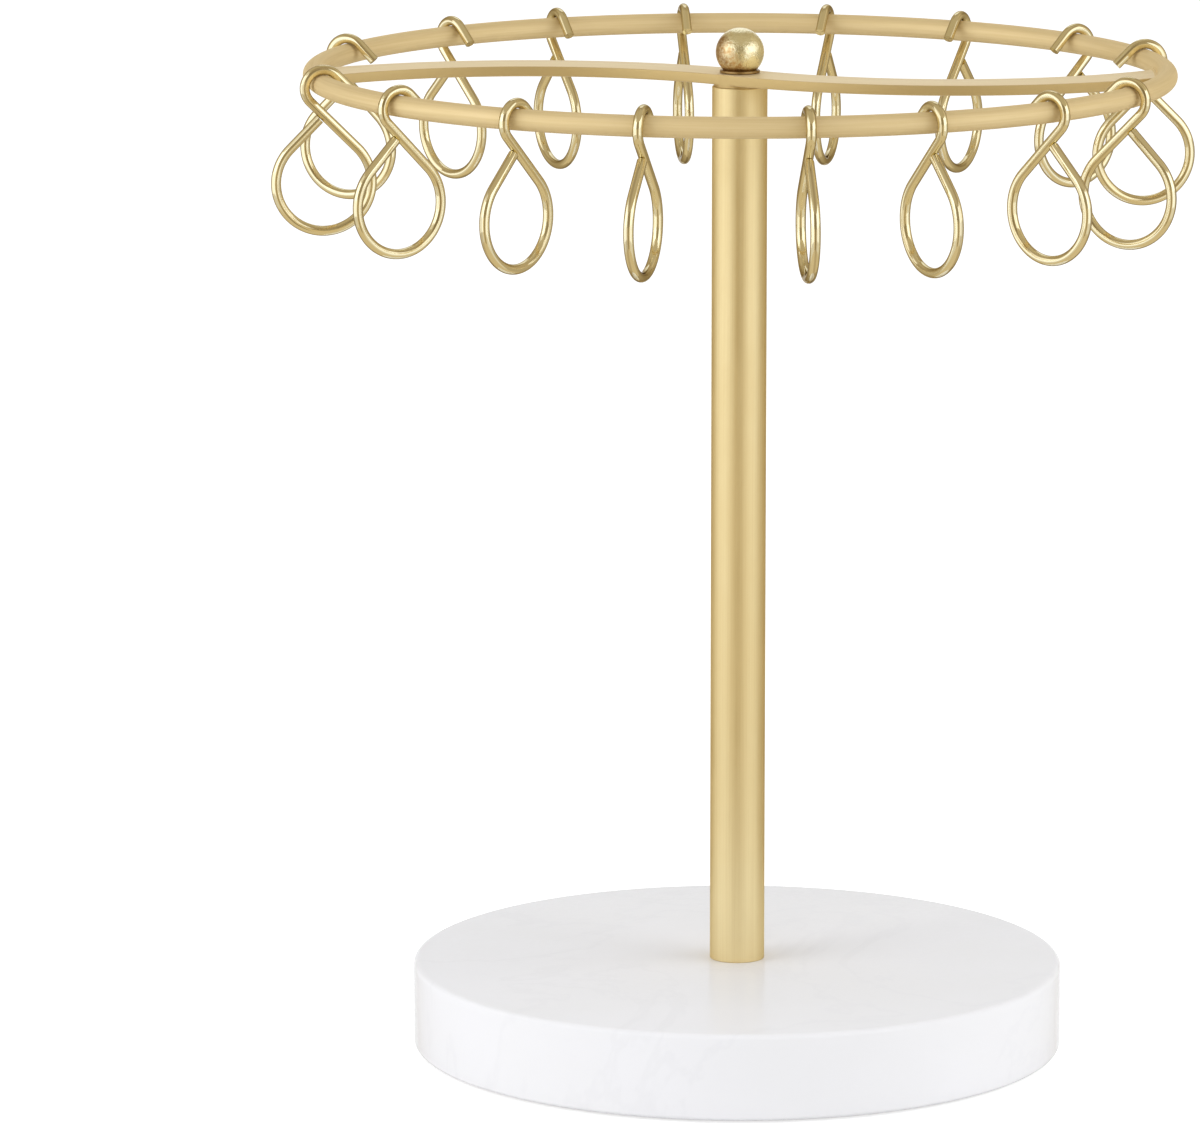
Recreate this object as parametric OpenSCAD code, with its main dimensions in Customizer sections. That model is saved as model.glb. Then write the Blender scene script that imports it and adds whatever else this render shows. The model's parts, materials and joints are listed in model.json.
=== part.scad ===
// Rotating hair clip organizer: a disc base, one post, and a ring on a crossbar that spins
// on a pivot at the post's top. Sixteen loose wire hooks hang on the ring and carry the clips.
// Millimetres, Z up, origin at the middle of the face that stands on the table.
// Angles round the ring are taken from +X, counter-clockwise seen from above. The front is -Y.

/* [Base] */
// Diameter of the base disc
base_d = 151; // [120:1:200]
// Thickness of the base disc
base_t = 20; // [16:0.5:30]
// Bevel round the top edge of the disc
base_top_bevel = 1.1; // [0.4:0.1:3]
// Bevel round the bottom edge of the disc
base_low_bevel = 0.7; // [0.3:0.1:2]
// Diameter of the anti-slip pad under the disc
pad_d = 140; // [90:1:144]
// Thickness of the anti-slip pad
pad_t = 1.5; // [1:0.1:3]
// Depth of the recess that the pad is stuck into
pad_recess = 1; // [0.4:0.1:2]

/* [Base screw] */
// Diameter of the screw that clamps the post to the base
screw_d = 6; // [4:0.5:8]
// Length of the screw under its head
screw_l = 28; // [22:1:36]
// Diameter of the screw's head
screw_head_d = 10; // [8:0.5:14]
// Height of the screw's head
screw_head_h = 3.6; // [2:0.2:4.4]
// Width across the flats of the hexagon socket in the head
screw_hex = 4; // [3:0.5:5]
// Depth of the hexagon socket
screw_hex_depth = 2.2; // [1:0.1:2.6]
// Diameter of the washer under the head
screw_washer_d = 18; // [14:0.5:24]
// Thickness of that washer
screw_washer_t = 1.6; // [0.8:0.1:2.5]

/* [Post] */
// Outer diameter of the post tube
post_d = 12.7; // [10:0.1:20]
// Wall of the post tube
post_wall = 1; // [0.6:0.1:1.2]
// Length of the post tube
post_h = 204.85; // [120:0.05:320]
// Length of the threaded plug in the foot of the tube
low_plug_h = 20; // [18:1:30]
// Length of the threaded plug in the top of the tube
top_plug_h = 16; // [13:1:30]

/* [Pivot] */
// Diameter of the smooth shoulder that the ring turns on
pivot_d = 6; // [5:0.1:7]
// Diameter of the threads below and above the shoulder
pivot_thread_d = 4; // [3:0.1:4.5]
// Length of the thread in the top plug
pivot_low_l = 11; // [6:0.5:12]
// Wall of the bush in the crossbar
bush_wall = 1; // [0.6:0.1:1.4]
// Diameter of the bush's flange, which the crossbar rides on
bush_flange_d = 12; // [10:0.1:14]
// Thickness of the bush's flange
bush_flange_t = 0.6; // [0.5:0.05:2]
// Diameter of the ball on top
ball_d = 11.1; // [9:0.1:16]
// Diameter of the flat under the ball
ball_flat_d = 7.6; // [6:0.1:8.5]
// Depth of the threaded hole in the ball
ball_hole_l = 6; // [4:0.5:7]
// Diameter of the thin washer under the ball
cap_washer_d = 9.2; // [8:0.1:12]
// Thickness of the thin washer
cap_washer_t = 0.6; // [0.3:0.1:1.2]

/* [Ring and crossbar] */
// Outside diameter of the ring
ring_d = 200; // [170:1:260]
// Diameter of the round rod that the ring is rolled from
rod_d = 4.8; // [4:0.1:6]
// Width of the crossbar
bar_w = 12; // [10.5:0.1:14]
// Thickness of the crossbar
bar_t = 2.4; // [1.5:0.1:4]
// How far each half of the S-shaped crossbar bows out sideways
bar_bow = 17; // [8:0.5:24]
// How far the round eye at the middle stands out past the crossbar's edges
eye_margin = 0.15; // [0.1:0.05:3]

/* [Hooks] */
// Number of hooks on each half of the ring
hooks_per_half = 8; // [2:1:8]
// Diameter of the hook wire
wire_d = 2.3; // [1.5:0.1:3]
// Inner radius of the bend that hangs over the ring
bend_r = 3.1; // [3:0.05:5]
// Inner radius of the round part of the loop
loop_r = 9.8; // [7:0.1:13]
// Length of the straight tip on the inner side of the ring
tip_l = 5.2; // [3:0.1:8]
// Angle between neighbouring hooks on the front half, degrees
front_step_angle = 19.6; // [15:0.1:20]
// Angle between neighbouring hooks on the back half, degrees
back_step_angle = 20.5; // [15:0.1:21]
// Angle of the first hook of the front half, degrees
front_first_angle = 195.5; // [195:0.1:200]
// Angle of the first hook of the back half, degrees
back_first_angle = 15.8; // [14:0.1:20]
// Greatest angle by which a loose hook hangs turned out of the radial plane, degrees
hook_turn_angle = 8; // [0:0.5:10]

/* [Hidden] */
// Running clearance between faces that turn past each other
run_gap = 0.05;
// Radial clearance of the shoulder in its bush
turn_gap = 0.06;
// Radial clearance of pressed and threaded pieces
seat_gap = 0.02;
// Radial clearance of the screw in the hole through the base
hole_gap = 0.3;
// Clearance round the washer in its counterbore
bore_gap = 1;
// Clearance round the pad in its recess
pad_gap = 0.2;
// Clearance between the crossbar's ends and the ring, which hold together by a soldered joint
solder_gap = 0.02;
// Clearance between a hook's bend and the top of the ring
hang_gap = 0.1;
// Clearance where the end of a hook's wire meets its own neck
butt_gap = 0.15;
// Chamfer on the ends of plugs and threads
thread_bevel = 0.5;
// Depth of the hole below the end of a screw or stud
blind_extra = 0.8;
// How far every cut runs past the face that it opens
over = 1;
// Share of the rod's radius by which the crossbar's ends reach under the ring
reach_share = 0.4;
// The hooks are set by hand: shares of a step by which each one stands off its even place
front_slide_shares = [0, 0.22, 0.27, 0.17, 0.25, 0.1, 0.07, 0];
back_slide_shares = [0, -0.03, 0.03, 0.02, 0.01, -0.08, -0.21, 0.02];
// Shares of the greatest turn by which each hook is turned on the ring
front_turn_shares = [-0.5, -0.5, -1, -0.5, -0.1, 0.7, 0.3, -0.2];
back_turn_shares = [-1, 0.1, 0.8, -0.2, 0, 0, -0.4, 0];
// The two straight legs of a hook cross at a right angle, so each leans by half of one
leg_lean_angle = 45;
fine = 96;
wire_fn = 32;

// Heights, from the table up
disc_z = pad_t - pad_recess;
base_z = disc_z + base_t;
pocket_z = pad_t + screw_head_h + screw_washer_t + pad_gap;
post_z = base_z + post_h;
bar_z = post_z + run_gap + bush_flange_t;
bar_top = bar_z + bar_t;
ring_z = bar_z + rod_d / 2;
shoulder_top = bar_top + run_gap * 2;
ball_flat_z = shoulder_top + cap_washer_t;
ball_z = ball_flat_z + sqrt(ball_d * ball_d - ball_flat_d * ball_flat_d) / 2;

// Radii
post_in_r = post_d / 2 - post_wall;
ring_r = (ring_d - rod_d) / 2;
rod_r = rod_d / 2;
bush_r = pivot_d / 2 + turn_gap + bush_wall;
bend_mid_r = bend_r + wire_d / 2;
loop_mid_r = loop_r + wire_d / 2;
leg_l = (bend_mid_r + loop_mid_r) / tan(leg_lean_angle);
last_leg_l = loop_mid_r / tan(leg_lean_angle) - wire_d / 2 / sin(2 * leg_lean_angle) - butt_gap;
bar_chord = ring_r - rod_r;
bar_arc_r = (bar_chord * bar_chord / 4 + bar_bow * bar_bow) / (2 * bar_bow);
bar_half_angle = asin(bar_chord / 2 / bar_arc_r);
// The arcs start inside the eye and run on until the whole width is under the ring
bar_start_angle = asin(sqrt(bar_w * eye_margin) / 4 / bar_arc_r);
bar_end_angle = asin((bar_w / 2 * tan(bar_half_angle) + rod_d) / bar_arc_r);

hook_count = 2 * hooks_per_half;
function hook_name(i) = str("hook_", i < 9 ? "0" : "", i + 1);
function front(i) = i < hooks_per_half;
function hook_angle(i) = front(i)
    ? front_first_angle + front_step_angle * (i + front_slide_shares[i])
    : back_first_angle + back_step_angle * (i - hooks_per_half + back_slide_shares[i - hooks_per_half]);
function turn_share(i) = front(i) ? front_turn_shares[i] : back_turn_shares[i - hooks_per_half];

// Satin gold of the post, ring and crossbar, the brighter brass of the wire, and the other metals
gold = [0.83, 0.72, 0.49];
brass = [0.86, 0.70, 0.38];
aged_brass = [0.66, 0.51, 0.33];
bronze = [0.60, 0.47, 0.31];
steel = [0.70, 0.71, 0.72];

// A round bar with both ends chamfered, standing on the origin
module chamfered_bar(d, h, bevel) {
    rotate_extrude($fn = fine)
        polygon([
            [0, 0], [d / 2 - bevel, 0], [d / 2, bevel],
            [d / 2, h - bevel], [d / 2 - bevel, h], [0, h]]);
}

// A flat ring standing on the origin
module washer(d, hole, t) {
    difference() {
        cylinder(d = d, h = t, $fn = fine);
        translate([0, 0, -over])
            cylinder(d = hole, h = t + 2 * over, $fn = fine);
    }
}

// Polished stone disc: bevelled edges, a pad recess and a pocket for the screw below
module base_disc() {
    color("white")
    difference() {
        translate([0, 0, disc_z])
            rotate_extrude($fn = 2 * fine)
                polygon([
                    [0, 0], [base_d / 2 - base_low_bevel, 0], [base_d / 2, base_low_bevel],
                    [base_d / 2, base_t - base_top_bevel],
                    [base_d / 2 - base_top_bevel, base_t], [0, base_t]]);
        translate([0, 0, disc_z - over])
            cylinder(d = pad_d + 2 * pad_gap, h = pad_recess + over, $fn = 2 * fine);
        translate([0, 0, disc_z - over])
            cylinder(d = screw_washer_d + 2 * bore_gap, h = pocket_z - disc_z + over, $fn = fine);
        translate([0, 0, disc_z])
            cylinder(d = screw_d + 2 * hole_gap, h = base_t + over, $fn = fine);
    }
}

// Thin foam pad that the whole piece stands on
module base_pad() {
    color("dimgray")
        cylinder(d = pad_d, h = pad_t, $fn = 2 * fine);
}

// Cap screw that pulls the post down on the disc, head down in the pocket
module base_screw() {
    color(steel)
    translate([0, 0, pocket_z - screw_washer_t])
    difference() {
        union() {
            translate([0, 0, -screw_head_h])
                cylinder(d = screw_head_d, h = screw_head_h, $fn = fine);
            cylinder(d = screw_d, h = screw_l, $fn = fine);
        }
        translate([0, 0, -screw_head_h - over])
            cylinder(d = screw_hex / cos(30), h = screw_hex_depth + over, $fn = 6);
    }
}

// Washer that spreads the screw's pull in the stone
module base_washer() {
    color(steel)
    translate([0, 0, pocket_z - screw_washer_t])
        washer(screw_washer_d, screw_d + 2 * hole_gap, screw_washer_t);
}

// Plain tube that stands on the disc
module post_tube() {
    color(gold)
    translate([0, 0, base_z])
        washer(post_d, 2 * post_in_r, post_h);
}

// Threaded plug pressed into the foot of the tube
module post_foot_plug() {
    color(steel)
    translate([0, 0, base_z])
    difference() {
        chamfered_bar(2 * (post_in_r - seat_gap), low_plug_h, thread_bevel);
        translate([0, 0, -over])
            cylinder(d = screw_d + 2 * seat_gap, h = low_plug_h + 2 * over, $fn = fine);
    }
}

// Threaded plug pressed into the top of the tube, flush with its end
module post_top_plug() {
    color(steel)
    translate([0, 0, post_z - top_plug_h])
    difference() {
        chamfered_bar(2 * (post_in_r - seat_gap), top_plug_h, thread_bevel);
        translate([0, 0, -over])
            cylinder(d = pivot_thread_d + 2 * seat_gap, h = top_plug_h + 2 * over, $fn = fine);
    }
}

// Stud screwed into the top plug: the shoulder carries the bush, the upper thread the ball
module pivot_stud() {
    color(steel)
    translate([0, 0, post_z]) {
        translate([0, 0, -pivot_low_l])
            cylinder(d = pivot_thread_d, h = pivot_low_l + shoulder_top - post_z
                + cap_washer_t + ball_hole_l - blind_extra, $fn = fine);
        cylinder(d = pivot_d, h = shoulder_top - post_z, $fn = fine);
    }
}

// Flanged bush pressed up into the crossbar's eye, with the flange riding on the post
module pivot_bush() {
    color(bronze)
    translate([0, 0, post_z + run_gap])
    difference() {
        union() {
            cylinder(d = bush_flange_d, h = bush_flange_t, $fn = fine);
            cylinder(r = bush_r, h = bush_flange_t + bar_t, $fn = fine);
        }
        translate([0, 0, -over])
            cylinder(r = pivot_d / 2 + turn_gap, h = bush_flange_t + bar_t + 2 * over, $fn = fine);
    }
}

// Thin washer clamped between the stud's shoulder and the ball
module cap_washer() {
    color(brass)
    translate([0, 0, shoulder_top])
        washer(cap_washer_d, pivot_thread_d + 2 * seat_gap, cap_washer_t);
}

// Ball nut: a ball with a flat and a blind threaded hole below
module ball_finial() {
    color(aged_brass)
    difference() {
        translate([0, 0, ball_z])
            sphere(d = ball_d, $fn = fine);
        translate([0, 0, ball_flat_z - ball_d])
            cylinder(d = ball_d + 2 * over, h = ball_d, $fn = fine);
        translate([0, 0, ball_flat_z - over])
            cylinder(d = pivot_thread_d + 2 * seat_gap, h = ball_hole_l + over, $fn = fine);
    }
}

// One half of the crossbar: an arc of flat strip from the eye to the ring on the +X side
module bar_half() {
    translate([bar_chord / 2, bar_arc_r - bar_bow, 0])
        rotate([0, 0, -90 - bar_half_angle + bar_start_angle])
            rotate_extrude(angle = 2 * bar_half_angle - bar_start_angle + bar_end_angle,
                $fn = 2 * fine)
                translate([bar_arc_r - bar_w / 2, 0])
                    square([bar_w, bar_t]);
}

// S-shaped strip across the ring, with a round eye for the bush at the middle
module crossbar() {
    color(gold)
    translate([0, 0, bar_z])
    difference() {
        intersection() {
            union() {
                bar_half();
                rotate([0, 0, 180])
                    bar_half();
                cylinder(d = bar_w + 2 * eye_margin, h = bar_t, $fn = fine);
            }
            translate([0, 0, -over])
                cylinder(r = ring_r - rod_r * (1 - reach_share), h = bar_t + 2 * over,
                    $fn = 2 * fine);
        }
        translate([0, 0, ring_z - bar_z])
            rotate_extrude($fn = 2 * fine)
                translate([ring_r, 0])
                    circle(r = rod_r + solder_gap, $fn = wire_fn);
        translate([0, 0, -over])
            cylinder(r = bush_r + seat_gap, h = bar_t + 2 * over, $fn = fine);
    }
}

// Closed ring of round rod
module ring() {
    color(gold)
    translate([0, 0, ring_z])
        rotate_extrude($fn = 2 * fine)
            translate([ring_r, 0])
                circle(r = rod_r, $fn = wire_fn);
}

// An arc of the hook wire in the XY plane round the origin, from +X
module wire_arc(r, sweep) {
    rotate_extrude(angle = sweep, $fn = 2 * fine)
        translate([r, 0])
            circle(d = wire_d, $fn = wire_fn);
}

// A straight run of the hook wire from the origin, along +Y or, if back, along -Y
module wire_leg(l, back = false) {
    rotate([back ? 90 : -90, 0, 0])
        cylinder(d = wire_d, h = l, $fn = wire_fn);
}

// One hook in the XY plane, +X away from the post and the ring's rod at the origin.
// It is bent in a frame that leans with the long leg, so each run starts square to the last.
module hook_wire() {
    translate([0, rod_r + hang_gap - bend_r, 0])
        rotate([0, 0, -leg_lean_angle]) {
            // The bend over the ring, and the straight tip on the ring's inner side
            wire_arc(bend_mid_r, 180);
            translate([-bend_mid_r, 0, 0])
                wire_leg(tip_l, back = true);
            // The long leg that crosses inward under the ring
            translate([bend_mid_r, 0, 0])
                wire_leg(leg_l, back = true);
            translate([bend_mid_r + loop_mid_r, -leg_l, 0]) {
                // The round of the loop
                rotate([0, 0, 180])
                    wire_arc(loop_mid_r, 180 + 2 * leg_lean_angle);
                // The last leg, which rises and ends against the neck
                rotate([0, 0, 2 * leg_lean_angle])
                    translate([loop_mid_r, 0, 0])
                        wire_leg(last_leg_l);
            }
        }
}

// A hook in its place on the ring, hanging plumb, and nearly in the upright plane through the post
module hook(i) {
    color(brass)
    rotate([0, 0, hook_angle(i)])
        translate([ring_r, 0, ring_z])
            rotate([90, 0, hook_turn_angle * turn_share(i)])
                hook_wire();
}

base_disc();
base_pad();
base_screw();
base_washer();
post_tube();
post_foot_plug();
post_top_plug();
pivot_stud();
pivot_bush();
cap_washer();
ball_finial();
crossbar();
ring();
for (i = [0:hook_count - 1])
    hook(i);
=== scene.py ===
# %% [markdown]
# # A rotating organizer for hair clips
# The real thing stands on a dressing table. A heavy polished disc carries one gold post, a ball nut
# on top holds a flat S-shaped crossbar, and the crossbar carries a ring. Sixteen wire hooks hang on
# the ring, and the whole top turns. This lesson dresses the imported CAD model: the sizes come from
# there, and each cell adds the finer shape or the finish of one piece.

import json
import math

import bmesh
import bpy
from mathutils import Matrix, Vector


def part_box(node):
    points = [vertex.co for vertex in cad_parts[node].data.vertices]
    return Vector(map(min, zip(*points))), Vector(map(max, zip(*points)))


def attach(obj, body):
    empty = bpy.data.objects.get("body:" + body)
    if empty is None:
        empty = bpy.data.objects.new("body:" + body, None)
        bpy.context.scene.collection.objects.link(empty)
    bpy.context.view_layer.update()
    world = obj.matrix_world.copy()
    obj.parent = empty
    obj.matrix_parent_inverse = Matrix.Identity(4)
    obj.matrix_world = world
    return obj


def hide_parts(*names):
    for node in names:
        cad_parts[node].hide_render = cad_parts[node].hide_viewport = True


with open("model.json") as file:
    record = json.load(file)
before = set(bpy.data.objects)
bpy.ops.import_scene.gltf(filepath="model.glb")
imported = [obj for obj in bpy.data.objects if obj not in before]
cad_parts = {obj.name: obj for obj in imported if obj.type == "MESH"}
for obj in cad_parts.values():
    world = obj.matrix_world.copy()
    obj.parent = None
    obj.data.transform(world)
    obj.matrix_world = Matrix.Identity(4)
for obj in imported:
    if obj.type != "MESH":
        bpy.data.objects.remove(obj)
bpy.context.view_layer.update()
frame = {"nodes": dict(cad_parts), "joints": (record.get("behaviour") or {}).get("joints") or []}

# %% [markdown]
# ## The viewpoint
# A product photograph is taken from far away with a long lens, so that round things stay round.
# The camera's place and its focal length were fitted to the ellipses of the base and of the ring.
# The lens in millimetres follows from the focal length in pixels and the frame's width.


# %% Camera
def show(name, data):
    """Puts an object with this data into the scene, at the origin."""
    made = bpy.data.objects.new(name, data)
    bpy.context.scene.collection.objects.link(made)
    return made


mm = 0.001
frame_px = 1200
focal_px = 7832
pitch = math.radians(10.618)
yaw = math.radians(-1.029)

lens = bpy.data.cameras.new("long_lens")
lens.sensor_width = 36
lens.lens = lens.sensor_width * focal_px / frame_px
lens.clip_end = 50
viewpoint = show("viewpoint", lens)
viewpoint.location = (0, -1.783, 0.4485)
sight = Vector((math.sin(yaw) * math.cos(pitch), math.cos(yaw) * math.cos(pitch), -math.sin(pitch)))
viewpoint.rotation_euler = sight.to_track_quat("-Z", "Y").to_euler()
bpy.context.scene.camera = viewpoint
bpy.context.scene.view_settings.view_transform = "Standard"
print("lens:", round(lens.lens, 2), "mm")

# %% [markdown]
# ## Small tools for node trees
# Materials and geometry trees are both made of nodes and links. A few helpers keep the cells short:
# they add a node and feed its inputs, add a sum or a soft step, put a vector together or take it
# apart, and open a group's named sockets.


# %% Node helpers
def feed(tree, socket, value):
    """Links an output to this input, or sets the input's own value. A node means its first output."""
    if isinstance(value, bpy.types.Node):
        value = value.outputs[0]
    if isinstance(value, bpy.types.NodeSocket):
        tree.links.new(value, socket)
    else:
        socket.default_value = value


def put(tree, kind, feeds=None, **settings):
    """Adds a node. feeds names its inputs, settings its other properties."""
    made = tree.nodes.new(kind)
    for name, value in settings.items():
        setattr(made, name, value)
    for key, value in (feeds or {}).items():
        feed(tree, made.inputs[key], value)
    return made


def calc(tree, what, *terms):
    """Adds one sum, such as MULTIPLY."""
    return put(tree, "ShaderNodeMath", dict(enumerate(terms)), operation=what)


def soft_step(tree, value, start, end, low=0.0, high=1.0):
    """Goes softly from low to high while the value goes from start to end."""
    return put(tree, "ShaderNodeMapRange", {
        "Value": value, "From Min": start, "From Max": end, "To Min": low, "To Max": high},
        interpolation_type="SMOOTHSTEP")


def xyz(tree, **parts):
    """A vector from the parts that are named, such as Z=1.0. The others are 0."""
    return put(tree, "ShaderNodeCombineXYZ", parts)


def parts_of(tree, place):
    """The three parts of a vector."""
    return put(tree, "ShaderNodeSeparateXYZ", {0: place}).outputs


def open_group(kind, name, sockets_in, sockets_out):
    """A new node group with named sockets. Returns the tree, its input node and its output node."""
    tree = bpy.data.node_groups.new(name, kind)
    for label, socket_type, value in sockets_in:
        made = tree.interface.new_socket(label, in_out="INPUT", socket_type=socket_type)
        if value is not None:
            made.default_value = value
    for label, socket_type in sockets_out:
        tree.interface.new_socket(label, in_out="OUTPUT", socket_type=socket_type)
    return tree, tree.nodes.new("NodeGroupInput").outputs, tree.nodes.new("NodeGroupOutput").inputs


print("helpers ready")

# %% [markdown]
# ## Effects that several finishes share
# Metal shows how it was made: drawn tube and wire carry faint lines along their length, plating has
# a fine grain, and hands leave soft dull patches. Each effect is one group with its own scale, built
# once and placed in every material that shows it. They only give out masks and heights.

# %% Drawn lines
number, vector = "NodeSocketFloat", "NodeSocketVector"
drawn_lines, line_in, line_out = open_group(
    "ShaderNodeTree", "drawn_lines",
    [("Place", vector, None), ("Lines per metre", number, 4000.0), ("Along", number, 0.02)],
    [("Mask", number), ("Height", number)])
squeeze = xyz(drawn_lines, X=1.0, Y=1.0, Z=line_in["Along"])
stretched = put(drawn_lines, "ShaderNodeVectorMath", {0: line_in["Place"], 1: squeeze},
                operation="MULTIPLY")
streaks = put(drawn_lines, "ShaderNodeTexNoise", {
    "Vector": stretched, "Scale": line_in["Lines per metre"], "Detail": 3.0, "Roughness": 0.6})
feed(drawn_lines, line_out["Height"], streaks)
feed(drawn_lines, line_out["Mask"], soft_step(drawn_lines, streaks, 0.3, 0.7))
print("group:", drawn_lines.name)

# %% Soft handling marks
handling, hand_in, hand_out = open_group(
    "ShaderNodeTree", "handling",
    [("Place", vector, None), ("Marks per metre", number, 60.0), ("Cover", number, 0.5)],
    [("Mask", number)])
wide = put(handling, "ShaderNodeTexNoise", {
    "Vector": hand_in["Place"], "Scale": hand_in["Marks per metre"], "Detail": 4.0, "Roughness": 0.55})
hand_edge = calc(handling, "SUBTRACT", 1.0, hand_in["Cover"])
softness = 0.18
feed(handling, hand_out["Mask"], soft_step(
    handling, wide, calc(handling, "SUBTRACT", hand_edge, softness),
    calc(handling, "ADD", hand_edge, softness)))
print("group:", handling.name)

# %% Fine grain
fine_grain, grain_in, grain_out = open_group(
    "ShaderNodeTree", "fine_grain",
    [("Place", vector, None), ("Grains per metre", number, 2500.0)],
    [("Mask", number), ("Height", number)])
grains = put(fine_grain, "ShaderNodeTexNoise", {
    "Vector": grain_in["Place"], "Scale": grain_in["Grains per metre"], "Detail": 2.0, "Roughness": 0.7})
feed(fine_grain, grain_out["Height"], grains)
feed(fine_grain, grain_out["Mask"], soft_step(fine_grain, grains, 0.35, 0.65))
print("group:", fine_grain.name)

# %% [markdown]
# ## Finishes
# Every finish starts from the same bare shader. Values that are the same all over the surface sit on
# the shader's own sockets, and only what changes over the surface comes through nodes. Colours are
# picked as they look on screen, so they are turned into linear light first.


# %% Tools for finishes
def light(red, green, blue):
    """A colour as it looks on screen, 0 to 255, in linear light."""
    def linear(v):
        v = v / 255
        return v / 12.92 if v <= 0.04045 else ((v + 0.055) / 1.055) ** 2.4
    return linear(red), linear(green), linear(blue), 1.0


def spelled(values):
    """Socket names have spaces where names in code have underscores."""
    return {name.replace("_", " "): value for name, value in values.items()}


def bare_finish(name, kind="ShaderNodeBsdfPrincipled", **values):
    """A material with one shader, whose plain sockets are set here. Returns it, its tree and the
    shader."""
    made = bpy.data.materials.new(name)
    made.use_nodes = True
    tree = made.node_tree
    tree.nodes.clear()
    shader = put(tree, kind, spelled(values))
    out = put(tree, "ShaderNodeOutputMaterial", {"Surface": shader})
    out.is_active_output = True
    return made, tree, shader


def effect(tree, group, **feeds):
    """Places a shared effect in a material."""
    return put(tree, "ShaderNodeGroup", spelled(feeds), node_tree=group)


def blend(tree, mask, first, second):
    """The first colour where the mask is 0, the second where it is 1."""
    # The node has a set of sockets for each kind of value. These are the ones for colours.
    return put(tree, "ShaderNodeMix", {0: mask, 6: first, 7: second}, data_type="RGBA").outputs[2]


def between(tree, mask, low, high):
    """A number that goes from low to high with the mask."""
    return put(tree, "ShaderNodeMapRange", {"Value": mask, "To Min": low, "To Max": high})


def own_place(tree):
    """Where a point lies on the unmoved object, in metres."""
    return put(tree, "ShaderNodeTexCoord").outputs["Object"]


def noted(tree, name, output="Vector"):
    """What a geometry tree wrote down under this name."""
    return put(tree, "ShaderNodeAttribute", attribute_name=name).outputs[output]


def vary(tree, shader, tone, roughness, height, depth):
    """Feeds what changes over a surface: its tone, its roughness and a relief. depth is in metres."""
    bump = put(tree, "ShaderNodeBump", {"Height": height, "Strength": 1.0, "Distance": depth})
    for socket, value in (("Base Color", tone), ("Roughness", roughness), ("Normal", bump)):
        feed(tree, shader.inputs[socket], value)


print("finish tools ready")

# %% [markdown]
# ### Satin gold
# The post, the crossbar and the ring are steel with a satin gold plating. It looks like champagne
# more than like jewellery. The post is a drawn tube and reflects the lamps in clear upright bands,
# while the ring and the crossbar were tumbled before plating and look softer: they scatter half of
# their light, so they keep their level where the tent round the stand is dark. One recipe makes all
# three, each with its own tones, roughness and lines. The crossbar's upright side faces are painted
# darker than its flat top and bottom, a painted shade.


# %% Satin gold recipe
def satin_gold(name, tones, roughness, place, lines, along, metal=1.0):
    """Plated metal in three near tones. place says where its lines sit: an attribute, or "" for object
    coordinates. metal is the share of the light that is mirrored, the rest is scattered."""
    made, tree, shader = bare_finish(name, Metallic=metal, Specular_Tint=light(222, 208, 178))
    everywhere = own_place(tree)
    where = noted(tree, place) if place else everywhere
    drawn = effect(tree, drawn_lines, Place=where, Lines_per_metre=lines, Along=along)
    hands = effect(tree, handling, Place=everywhere, Marks_per_metre=38.0, Cover=0.45)
    grain = effect(tree, fine_grain, Place=everywhere, Grains_per_metre=3200.0)
    tone = blend(tree, hands.outputs["Mask"], light(*tones[0]), light(*tones[1]))
    tone = blend(tree, drawn.outputs["Mask"], tone, light(*tones[2]))
    dull = calc(tree, "MULTIPLY_ADD", drawn.outputs["Mask"], 0.35, hands.outputs["Mask"])
    dull = calc(tree, "MULTIPLY_ADD", grain.outputs["Mask"], 0.3, dull)
    height = calc(tree, "MULTIPLY_ADD", grain.outputs["Height"], 0.5, drawn.outputs["Height"])
    vary(tree, shader, tone, between(tree, dull, roughness - 0.03, roughness + 0.05), height, 2.5e-6)
    return made, tree, shader, tone


post_gold = satin_gold(
    "post_gold", [(244, 225, 173), (247, 228, 176), (250, 233, 184)], roughness=0.48,
    place="", lines=2600.0, along=0.006)[0]
ring_gold = satin_gold(
    "ring_gold", [(226, 204, 154), (229, 207, 157), (234, 213, 166)], roughness=0.6,
    place="rod_place", lines=1900.0, along=0.02, metal=0.5)[0]
bar_gold, tree, shader, tone = satin_gold(
    "bar_gold", [(240, 221, 181), (243, 225, 185), (247, 231, 194)], roughness=0.42,
    place="rod_place", lines=1500.0, along=0.02, metal=0.5)
print("satin gold on", post_gold.name, ring_gold.name, bar_gold.name)

# %% Painted shade on the strip's side faces
# Painted shade: the strip's upright side faces get a darker colour than its flat faces.
tone = blend(tree, noted(tree, "painted_side_shade", "Fac"), tone, light(202, 177, 123))
feed(tree, shader.inputs["Base Color"], tone)
print("the strip's edges are duller than its faces")
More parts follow.
